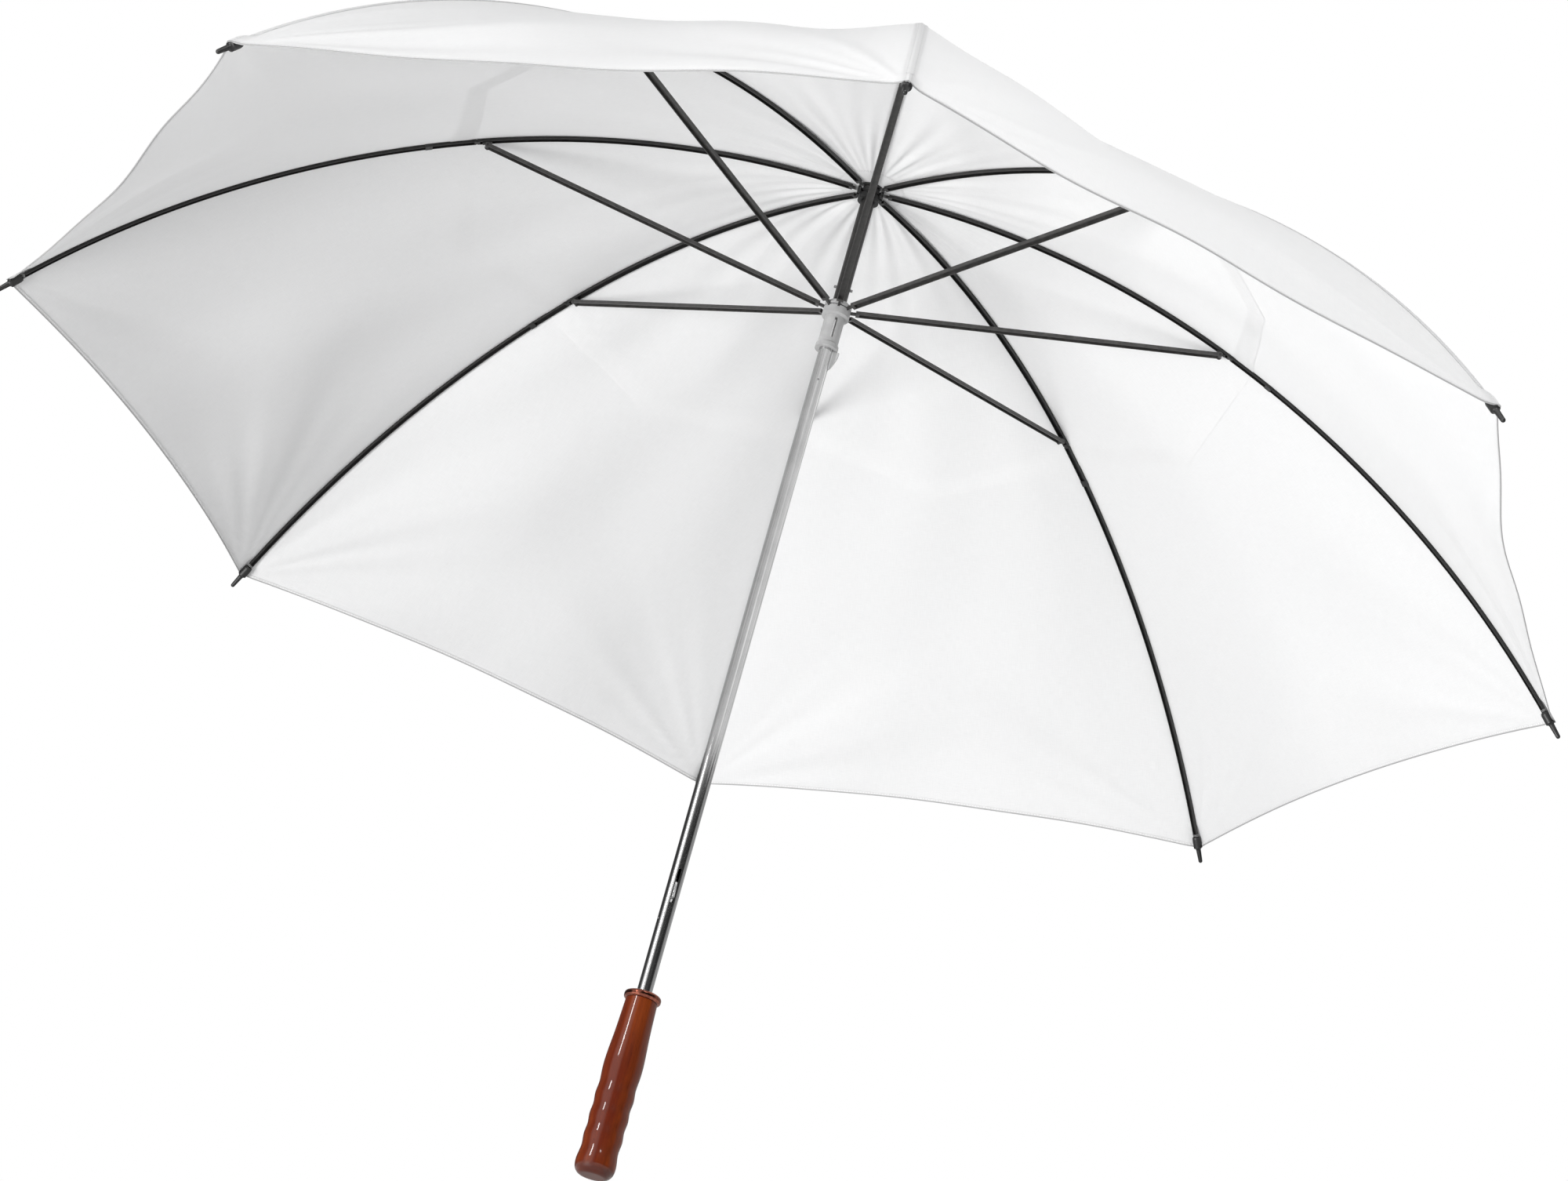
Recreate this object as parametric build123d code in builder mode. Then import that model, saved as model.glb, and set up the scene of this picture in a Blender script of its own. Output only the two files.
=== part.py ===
"""Eight-rib white umbrella reflector with a turned grip, modelled open.

Millimetres, +Z up along the shaft.  The origin is the centre of the grip's flat end face, and
rib 1 lies on the +X axis.  Each rib turns on the wire ring of the fixed crown notch.  Each
stretcher joins a rib bracket to the wire ring of the runner that slides on the shaft.
"""
import os
from math import acos, cos, degrees, radians, sin, sqrt

from build123d import *

# ---- Ribs: the driving sizes --------------------------------------------------------------
RIB_COUNT = 8
RIB_STEP = 360 / RIB_COUNT  # degrees between neighbouring ribs
CROWN_Z = 900.0  # height of the crown's wire ring
PIVOT_RADIUS = 9.75  # radius of both wire rings
RIB_LENGTH = 750.0  # along the curve, crown ring to fabric corner
RIB_RISE = 3.0  # degrees above level at which a rib leaves the crown
INNER_BEND = 717.0  # bend radius of the inner rib
OUTER_BEND = 868.0  # bend radius of the outer rib
JOINT_LENGTH = 325.0  # along the rib, crown ring to stretcher bracket
JOINT_DROP = 4.6  # stretcher pivot below the rib's centre line
SPLIT_LENGTH = 335.0  # along the rib, crown ring to the outer rib's rivet
CRIMP_LENGTH = 375.0  # along the rib, crown ring to the crimped step

# ---- Sheet-metal sections -----------------------------------------------------------------
RIB_WIDTH = 5.0
RIB_HEIGHT = 2.8
RIB_WALL = 0.6
RIB_END_WIDTH = 4.4  # outer rib beyond the crimp
CRIMP_WIDTH = 5.6
CRIMP_HALF_LENGTH = 3.0
CRIMP_STAND = 0.2  # crimp proud of the rib's top and bottom
STRETCHER_WIDTH = 6.0
STRETCHER_HEIGHT = 3.2
STRETCHER_WALL = 0.8
EYE_THICKNESS = 1.8
EYE_RADIUS = 1.9
EYE_HOLE_RADIUS = 0.75
NECK_HALF_HEIGHT = 1.2
CHANNEL_START = 6.5  # pivot to the start of the full section
PLUG_END = 9.5  # pivot to where the section becomes hollow
RIVET_RADIUS = 0.6
RIVET_CUT_RADIUS = 1.9  # clear of the rivet, for the tongue between the ears
TONGUE_PLAY = 0.2
EAR_RADIUS = 2.4  # stretcher ears round the trunnions
EAR_GAP_RADIUS = 4.0  # open channel between the ears
BRACKET_HALF_LENGTH = 4.0
BRACKET_NECK_HALF = 2.0
BRACKET_FOOT = 1.0  # bracket below the rib channel
BRACKET_PLAY = 0.1
TRUNNION_RADIUS = 1.1
PIN_CLEARANCE = 0.05
WIRE_RADIUS = 0.6

# ---- Shaft, crown and runner --------------------------------------------------------------
TUBE_RADIUS = 6.0
TUBE_BORE_RADIUS = 5.4
TUBE_BOTTOM_Z = 22.0
TUBE_TOP_RISE = 30.0  # above the crown ring
PRESS_BORE_RADIUS = 6.05  # parts pressed on the shaft
RUNNER_BORE_RADIUS = 6.1  # parts sliding on the shaft
DRUM_RADIUS = 11.5
RUNNER_DRUM_RADIUS = 11.75
SLOT_WIDTH = 2.2
SLOT_FLOOR_RADIUS = 7.4
GROOVE_FLOOR_RADIUS = 8.95
GROOVE_HALF_HEIGHT = 0.7
NOTCH_TOP = 3.0  # heights above the crown ring
NOTCH_SLOT_TOP = 2.0
NOTCH_SLOT_BOTTOM = -4.5
NOTCH_BOTTOM = -10.0
NOTCH_SKIRT_RADIUS = 9.2
RUNNER_TOP = 5.0  # heights above the runner's ring
RUNNER_SLOT_BOTTOM = -2.0
RUNNER_DRUM_BOTTOM = -7.5
RUNNER_BOTTOM = -39.5
RUNNER_BODY_RADIUS = 8.65
RUNNER_LIP_RADIUS = 9.85
RUNNER_LIP_HEIGHT = 4.0
WINDOW_TOP = -11.0
WINDOW_BOTTOM = -30.5
WINDOW_WIDTH = 2.3
STOP_PIN_DROP = 98.6  # below the crown ring
STOP_PIN_RADIUS = 1.2
STOP_PIN_LENGTH = 16.5
STOP_PIN_CHAMFER = 0.3
SPRING_PIN_RADIUS = 0.8

# ---- Latch springs ------------------------------------------------------------------------
FOLD_ANGLE = 76.0  # degrees each inner rib swings down to close
SPRING_THICKNESS = 1.6
SPRING_FOOT_X = 2.0  # shaft axis to the spring's own pin
SPRING_FOOT_RADIUS = 2.0
TOP_SPRING_REACH = 31.0  # own pin to the latching edge
BOTTOM_SPRING_REACH = 17.0
TOP_NOSE = ((5.0, -18.4), (9.6, -12.0), (12.0, -2.6))  # ramp, from the latching edge
TOP_NOSE_EDGE = ((12.0, -0.6), (6.0, 0), (1.3, 0))
TOP_LEG_INNER_X = 0.6
TOP_LEG_OUTER_X = 3.4
TOP_LEG_BEND = (3.6, -19.0)
BOTTOM_NOSE_EDGE = ((3.6, -3.5), (5.4, 0), (10.6, 0), (11.0, 1.6))
BOTTOM_NOSE_RAMP = ((5.9, 14.5), (4.9, 14.5), (1.4, -3.0))
BOTTOM_LEG_INNER_X = 0.8
BOTTOM_LEG_OUTER_X = 3.2
LATCH_GAP = 1.0  # play between the open runner and the top spring's nose
TOP_SPRING_AZIMUTH = 75.0
BOTTOM_SPRING_AZIMUTH = 8.0

# ---- Fabric -------------------------------------------------------------------------------
CANOPY_CROWN_RISE = 3.75  # underside of the flat crown part above the crown ring
CANOPY_THICKNESS = 0.5
HEM_OVERHANG = 8.0  # fabric drawn past the rib end before the hem is cut
TIP_CUTOUT_GAP = 0.3
HEM_MID_RADIUS = 597.0  # shaft axis to the middle of a scalloped hem
SHAFT_HOLE_RADIUS = 6.3
ROSETTE_RADIUS = 30.0
ROSETTE_UNDERSIDE = 3.1
ROSETTE_THICKNESS = 0.4

# ---- Rib tips -----------------------------------------------------------------------------
BELL_RADIUS = 4.0
BELL_LENGTH = 11.0
BELL_ROUNDING = 0.5
BELL_LIP_LENGTH = 2.0
TIP_WEB = 1.0  # closed end of the rib pocket
TIP_POCKET_RADIUS = 2.85
STEM_START = 1.5  # along the rib's end line, past the bell's shoulder
STEM_LENGTH = 14.0
STEM_ROOT_RADIUS = 2.25
STEM_END_RADIUS = 1.85

# ---- Crown cap, ferrule and grip ----------------------------------------------------------
CAP_UNDERSIDE = 4.35  # heights above the crown ring
CAP_TOP = 8.0
CAP_RADIUS = 14.0
CAP_RIM_TOP = 5.15
CAP_SHOULDER = (11.0, 7.1)  # radius and height of the dome
FERRULE_RADIUS = 6.5
FERRULE_BOTTOM = 8.1
FERRULE_FOOT_RADIUS = 9.5
FERRULE_FOOT_HEIGHT = 2.0
FERRULE_STRAIGHT = (22.0, 60.0)
FERRULE_TOP = 68.0
GRIP_TOP_Z = 144.0
GRIP_TOP_RADIUS = 12.6
GRIP_WAIST = (14.1, 112.0)  # radius and height of the plain part
GRIP_SHOULDER = (15.1, 82.0)  # radius and height above the first finger groove
GROOVE_COUNT = 4
GROOVE_PITCH = 16.5
GROOVE_TOP_Z = 72.5
GROOVE_RADIUS = 14.6
KNUCKLE_RADIUS = 15.3
GRIP_FLARE_RADIUS = 15.9
GRIP_FLARE_Z = 10.0
GRIP_HEEL = (13.7, 2.2)  # radius and height on the rounded end
GRIP_END_FLAT_RADIUS = 9.0
GRIP_SOCKET_Z = 21.0
COLLAR_BOTTOM_Z = 144.1
COLLAR_TOP_Z = 150.0
COLLAR_RADIUS = 14.75
COLLAR_ROUNDING = 2.4

# ---- Worked out from the sizes above ------------------------------------------------------
HALF_STEP = RIB_STEP / 2
INNER_CENTRE = (
    PIVOT_RADIUS + INNER_BEND * sin(radians(RIB_RISE)),
    CROWN_Z - INNER_BEND * cos(radians(RIB_RISE)),
)


def on_arc(centre, radius, slope):
    """Point of an arc where the arc slopes down by this many degrees."""
    return (centre[0] + radius * sin(radians(slope)), centre[1] + radius * cos(radians(slope)))


def inner_slope(length):
    """Slope of the inner rib at a length along the rib."""
    return degrees(length / INNER_BEND) - RIB_RISE


SPLIT_SLOPE = inner_slope(SPLIT_LENGTH)
OUTER_CENTRE = on_arc(INNER_CENTRE, INNER_BEND - OUTER_BEND, SPLIT_SLOPE)


def outer_slope(length):
    """Slope of the outer rib at a length along the rib."""
    return SPLIT_SLOPE + degrees((length - SPLIT_LENGTH) / OUTER_BEND)


SPLIT = on_arc(INNER_CENTRE, INNER_BEND, SPLIT_SLOPE)
END_SLOPE = outer_slope(RIB_LENGTH)
RIB_END = on_arc(OUTER_CENTRE, OUTER_BEND, END_SLOPE)
BRACKET_SLOPE = inner_slope(JOINT_LENGTH)
JOINT = on_arc(INNER_CENTRE, INNER_BEND - JOINT_DROP, BRACKET_SLOPE)
RUNNER_Z = 2 * JOINT[1] - CROWN_Z  # equal links put the runner ring this high
STRETCHER_LENGTH = sqrt((JOINT[0] - PIVOT_RADIUS) ** 2 + (JOINT[1] - RUNNER_Z) ** 2)
OPEN_ANGLE = degrees(acos((CROWN_Z - JOINT[1]) / STRETCHER_LENGTH))  # open rib link off the shaft
RUNNER_CLOSED_Z = CROWN_Z - 2 * STRETCHER_LENGTH * cos(radians(OPEN_ANGLE - FOLD_ANGLE))
TOP_LATCH_Z = RUNNER_Z + RUNNER_BOTTOM - LATCH_GAP  # top edge of the top spring's nose
TOP_SPRING_FOOT = (SPRING_FOOT_X, TOP_LATCH_Z - TOP_SPRING_REACH)
TOP_SLOT = (TOP_LATCH_Z - 19.5, TOP_LATCH_Z + 2.5)
BOTTOM_LATCH_Z = RUNNER_CLOSED_Z + WINDOW_BOTTOM + 2  # lower edge of the bottom spring's nose
BOTTOM_SPRING_FOOT = (SPRING_FOOT_X, BOTTOM_LATCH_Z - BOTTOM_SPRING_REACH)
BOTTOM_SLOT = (BOTTOM_LATCH_Z - 3, BOTTOM_LATCH_Z + 26)


def upright_plane(azimuth, height=0):
    """Plane through the shaft axis: local x runs outward, local y runs up from this height."""
    turn = radians(azimuth)
    outward = (cos(turn), sin(turn), 0)
    return Plane(origin=(0, 0, height), x_dir=outward, z_dir=(sin(turn), -cos(turn), 0))


def plane_along(base, start, toward):
    """Plane with the same normal whose local x runs from one local point to another."""
    origin = base.from_local_coords(Vector(*start))
    end = base.from_local_coords(Vector(*toward))
    return Plane(origin=origin, x_dir=end - origin, z_dir=base.z_dir)


def band_outline(centre, radius, low, high, slope_from, slope_to):
    """Outline between two arcs that share the rib's centre, low and high of the rib line."""
    upper = CenterArc(centre, radius + high, 90 - slope_from, slope_from - slope_to)
    lower = CenterArc(centre, radius + low, 90 - slope_from, slope_from - slope_to)
    Line(upper @ 0, lower @ 0)
    Line(upper @ 1, lower @ 1)


def bar_outline(start, end, low, high):
    """Rectangle outline along local x."""
    Polyline((start, low), (end, low), (end, high), (start, high), close=True)


def save(piece, name):
    """Label a finished piece and write its STEP file."""
    piece.label = name
    export_step(piece, f"parts/{name}.step")


os.makedirs("parts", exist_ok=True)

# ---- Shaft tube ---------------------------------------------------------------------------
TUBE_TOP_Z = CROWN_Z + TUBE_TOP_RISE
with BuildPart() as shaft_tube:
    with BuildSketch(Plane.XY.offset(TUBE_BOTTOM_Z)):
        Circle(TUBE_RADIUS)
        Circle(TUBE_BORE_RADIUS, mode=Mode.SUBTRACT)
    extrude(amount=TUBE_TOP_Z - TUBE_BOTTOM_Z)
    for azimuth, slot, foot in (
        (TOP_SPRING_AZIMUTH, TOP_SLOT, TOP_SPRING_FOOT),
        (BOTTOM_SPRING_AZIMUTH, BOTTOM_SLOT, BOTTOM_SPRING_FOOT),
    ):
        spring_plane = upright_plane(azimuth)
        with BuildSketch(spring_plane):
            with Locations((TUBE_RADIUS, (slot[0] + slot[1]) / 2)):
                Rectangle(TUBE_RADIUS, slot[1] - slot[0])
        extrude(amount=SLOT_WIDTH / 2, both=True, mode=Mode.SUBTRACT)
        with BuildSketch(spring_plane):
            with Locations(foot):
                Circle(SPRING_PIN_RADIUS + PIN_CLEARANCE)
        extrude(amount=TUBE_RADIUS, both=True, mode=Mode.SUBTRACT)
    with BuildSketch(Plane.XZ):
        with Locations((0, CROWN_Z - STOP_PIN_DROP)):
            Circle(STOP_PIN_RADIUS + PIN_CLEARANCE)
    extrude(amount=TUBE_RADIUS, both=True, mode=Mode.SUBTRACT)
save(shaft_tube.part, "shaft_tube")

# ---- Pins across the shaft ----------------------------------------------------------------
with BuildPart() as stop_pin:
    with BuildSketch(Plane.XZ):
        with Locations((0, CROWN_Z - STOP_PIN_DROP)):
            Circle(STOP_PIN_RADIUS)
    extrude(amount=STOP_PIN_LENGTH / 2, both=True)
    chamfer(stop_pin.edges().filter_by(GeomType.CIRCLE), STOP_PIN_CHAMFER)
save(stop_pin.part, "stop_pin")

with BuildPart() as spring_pins:
    for azimuth, foot in (
        (TOP_SPRING_AZIMUTH, TOP_SPRING_FOOT),
        (BOTTOM_SPRING_AZIMUTH, BOTTOM_SPRING_FOOT),
    ):
        with BuildSketch(upright_plane(azimuth)):
            with Locations(foot):
                Circle(SPRING_PIN_RADIUS)
        extrude(amount=TUBE_BORE_RADIUS, both=True)
save(spring_pins.part, "spring_pins")

# ---- Latch springs: flat leaves that stand in the shaft slots -----------------------------
with BuildPart() as top_spring:
    with BuildSketch(upright_plane(TOP_SPRING_AZIMUTH, TOP_LATCH_Z)):
        with BuildLine():
            nose = Spline(*TOP_NOSE, tangents=((1, 0.4), (0.05, 1)))
            inner_foot = (TOP_LEG_INNER_X, -TOP_SPRING_REACH)
            outer_foot = (TOP_LEG_OUTER_X, -TOP_SPRING_REACH)
            Polyline(nose @ 1, *TOP_NOSE_EDGE, inner_foot)
            Polyline(inner_foot, outer_foot, TOP_LEG_BEND, nose @ 0)
        make_face()
        with Locations((SPRING_FOOT_X, -TOP_SPRING_REACH)):
            Circle(SPRING_FOOT_RADIUS)
            Circle(SPRING_PIN_RADIUS + PIN_CLEARANCE, mode=Mode.SUBTRACT)
    extrude(amount=SPRING_THICKNESS / 2, both=True)
save(top_spring.part, "top_spring")

with BuildPart() as bottom_spring:
    with BuildSketch(upright_plane(BOTTOM_SPRING_AZIMUTH, BOTTOM_LATCH_Z)):
        with BuildLine():
            inner_foot = (BOTTOM_LEG_INNER_X, -BOTTOM_SPRING_REACH)
            outer_foot = (BOTTOM_LEG_OUTER_X, -BOTTOM_SPRING_REACH)
            Polyline(inner_foot, outer_foot, *BOTTOM_NOSE_EDGE, *BOTTOM_NOSE_RAMP, inner_foot)
        make_face()
        with Locations((SPRING_FOOT_X, -BOTTOM_SPRING_REACH)):
            Circle(SPRING_FOOT_RADIUS)
            Circle(SPRING_PIN_RADIUS + PIN_CLEARANCE, mode=Mode.SUBTRACT)
    extrude(amount=SPRING_THICKNESS / 2, both=True)
save(bottom_spring.part, "bottom_spring")

# ---- Crown notch: slotted drum that holds the rib eyes on a wire ring ----------------------
SLOT_DEPTH = RUNNER_DRUM_RADIUS - SLOT_FLOOR_RADIUS + 1
SLOT_MID_RADIUS = SLOT_FLOOR_RADIUS + SLOT_DEPTH / 2
with BuildPart() as crown_notch:
    with BuildSketch(upright_plane(0, CROWN_Z)):
        with BuildLine():
            Polyline(
                (PRESS_BORE_RADIUS, NOTCH_BOTTOM),
                (NOTCH_SKIRT_RADIUS, NOTCH_BOTTOM),
                (NOTCH_SKIRT_RADIUS, NOTCH_SLOT_BOTTOM),
                (DRUM_RADIUS, NOTCH_SLOT_BOTTOM),
                (DRUM_RADIUS, -GROOVE_HALF_HEIGHT),
                (GROOVE_FLOOR_RADIUS, -GROOVE_HALF_HEIGHT),
                (GROOVE_FLOOR_RADIUS, GROOVE_HALF_HEIGHT),
                (DRUM_RADIUS, GROOVE_HALF_HEIGHT),
                (DRUM_RADIUS, NOTCH_TOP),
                (PRESS_BORE_RADIUS, NOTCH_TOP),
                close=True,
            )
        make_face()
    revolve(axis=Axis.Z)
    with Locations((0, 0, CROWN_Z + (NOTCH_SLOT_TOP + NOTCH_SLOT_BOTTOM) / 2)):
        with PolarLocations(SLOT_MID_RADIUS, RIB_COUNT):
            Box(SLOT_DEPTH, SLOT_WIDTH, NOTCH_SLOT_TOP - NOTCH_SLOT_BOTTOM, mode=Mode.SUBTRACT)
save(crown_notch.part, "crown_notch")

# ---- Wire rings ---------------------------------------------------------------------------
with BuildPart() as crown_wire:
    with Locations((0, 0, CROWN_Z)):
        Torus(PIVOT_RADIUS, WIRE_RADIUS)
save(crown_wire.part, "crown_wire")

with BuildPart() as runner_wire:
    with Locations((0, 0, RUNNER_Z)):
        Torus(PIVOT_RADIUS, WIRE_RADIUS)
save(runner_wire.part, "runner_wire")

# ---- Runner: slotted drum over a plain sleeve with a latch window ---------------------------
with BuildPart() as runner:
    with BuildSketch(upright_plane(0, RUNNER_Z)):
        with BuildLine():
            Polyline(
                (RUNNER_BORE_RADIUS, RUNNER_BOTTOM),
                (RUNNER_LIP_RADIUS, RUNNER_BOTTOM),
                (RUNNER_LIP_RADIUS, RUNNER_BOTTOM + RUNNER_LIP_HEIGHT),
                (RUNNER_BODY_RADIUS, RUNNER_BOTTOM + RUNNER_LIP_HEIGHT + 1),
                (RUNNER_BODY_RADIUS, RUNNER_DRUM_BOTTOM - 1),
                (RUNNER_DRUM_RADIUS, RUNNER_DRUM_BOTTOM),
                (RUNNER_DRUM_RADIUS, -GROOVE_HALF_HEIGHT),
                (GROOVE_FLOOR_RADIUS, -GROOVE_HALF_HEIGHT),
                (GROOVE_FLOOR_RADIUS, GROOVE_HALF_HEIGHT),
                (RUNNER_DRUM_RADIUS, GROOVE_HALF_HEIGHT),
                (RUNNER_DRUM_RADIUS, RUNNER_TOP - 1),
                (RUNNER_DRUM_RADIUS - 1, RUNNER_TOP),
                (RUNNER_BORE_RADIUS, RUNNER_TOP),
                close=True,
            )
        make_face()
    revolve(axis=Axis.Z)
    with Locations((0, 0, RUNNER_Z + (RUNNER_TOP + RUNNER_SLOT_BOTTOM) / 2)):
        with PolarLocations(SLOT_MID_RADIUS, RIB_COUNT):
            Box(SLOT_DEPTH, SLOT_WIDTH, RUNNER_TOP - RUNNER_SLOT_BOTTOM, mode=Mode.SUBTRACT)
    with BuildSketch(upright_plane(BOTTOM_SPRING_AZIMUTH)):
        with Locations((RUNNER_BODY_RADIUS, RUNNER_Z + (WINDOW_TOP + WINDOW_BOTTOM) / 2)):
            Rectangle(RUNNER_BODY_RADIUS, WINDOW_TOP - WINDOW_BOTTOM)
    extrude(amount=WINDOW_WIDTH / 2, both=True, mode=Mode.SUBTRACT)
save(runner.part, "runner")

# ---- Crown cap, ferrule and fabric rosette --------------------------------------------------
with BuildPart() as crown_cap:
    with BuildSketch(upright_plane(0, CROWN_Z)):
        with BuildLine():
            Line((PRESS_BORE_RADIUS, CAP_UNDERSIDE), (CAP_RADIUS, CAP_UNDERSIDE))
            Line((CAP_RADIUS, CAP_UNDERSIDE), (CAP_RADIUS, CAP_RIM_TOP))
            Spline((CAP_RADIUS, CAP_RIM_TOP), CAP_SHOULDER, (PRESS_BORE_RADIUS, CAP_TOP))
            Line((PRESS_BORE_RADIUS, CAP_TOP), (PRESS_BORE_RADIUS, CAP_UNDERSIDE))
        make_face()
    revolve(axis=Axis.Z)
save(crown_cap.part, "crown_cap")

with BuildPart() as ferrule:
    with BuildSketch(upright_plane(0, CROWN_Z)):
        with BuildLine():
            foot_top = (FERRULE_FOOT_RADIUS, FERRULE_BOTTOM + FERRULE_FOOT_HEIGHT)
            Polyline((0, FERRULE_BOTTOM), (FERRULE_FOOT_RADIUS, FERRULE_BOTTOM), foot_top)
            Spline(foot_top, (FERRULE_RADIUS, FERRULE_STRAIGHT[0]), tangents=((-1, 1), (0, 1)))
            Line((FERRULE_RADIUS, FERRULE_STRAIGHT[0]), (FERRULE_RADIUS, FERRULE_STRAIGHT[1]))
            Spline(
                (FERRULE_RADIUS, FERRULE_STRAIGHT[1]),
                (0, FERRULE_TOP),
                tangents=((0, 1.6), (-1.6, 0)),
            )
            Line((0, FERRULE_TOP), (0, FERRULE_BOTTOM))
        make_face()
    revolve(axis=Axis.Z)
    with BuildSketch(Plane.XY.offset(CROWN_Z + FERRULE_BOTTOM)):
        Circle(PRESS_BORE_RADIUS)
    extrude(amount=TUBE_TOP_RISE - FERRULE_BOTTOM + 1, mode=Mode.SUBTRACT)
save(ferrule.part, "ferrule")

with BuildPart() as inner_rosette:
    with BuildSketch(Plane.XY.offset(CROWN_Z + ROSETTE_UNDERSIDE)):
        Circle(ROSETTE_RADIUS)
        Circle(SHAFT_HOLE_RADIUS, mode=Mode.SUBTRACT)
    extrude(amount=ROSETTE_THICKNESS)
save(inner_rosette.part, "inner_rosette")

# ---- Grip and collar ------------------------------------------------------------------------
with BuildPart() as handle_grip:
    with BuildSketch(Plane.XZ):
        with BuildLine():
            side = [(GRIP_TOP_RADIUS, GRIP_TOP_Z), GRIP_WAIST, GRIP_SHOULDER]
            for groove in range(GROOVE_COUNT):
                groove_z = GROOVE_TOP_Z - groove * GROOVE_PITCH
                side.append((GROOVE_RADIUS, groove_z))
                side.append((KNUCKLE_RADIUS, groove_z - GROOVE_PITCH / 2))
            side[-1] = (GRIP_FLARE_RADIUS, GRIP_FLARE_Z)
            Spline(*side, tangents=((0.04, -1), (0, -1)))
            Spline(
                (GRIP_FLARE_RADIUS, GRIP_FLARE_Z),
                GRIP_HEEL,
                (GRIP_END_FLAT_RADIUS, 0),
                tangents=((0, -1), (-1, 0)),
            )
            Polyline((GRIP_END_FLAT_RADIUS, 0), (0, 0), (0, GRIP_TOP_Z), side[0])
        make_face()
    revolve(axis=Axis.Z)
    with BuildSketch(Plane.XY.offset(GRIP_SOCKET_Z)):
        Circle(PRESS_BORE_RADIUS)
    extrude(amount=GRIP_TOP_Z, mode=Mode.SUBTRACT)
save(handle_grip.part, "handle_grip")

with BuildPart() as handle_collar:
    with BuildSketch(Plane.XY.offset(COLLAR_BOTTOM_Z)):
        Circle(COLLAR_RADIUS)
        Circle(PRESS_BORE_RADIUS, mode=Mode.SUBTRACT)
    extrude(amount=COLLAR_TOP_Z - COLLAR_BOTTOM_Z)
    rims = handle_collar.edges().filter_by(lambda edge: edge.length > 6 * COLLAR_RADIUS)
    fillet(rims, COLLAR_ROUNDING)
save(handle_collar.part, "handle_collar")

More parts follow.
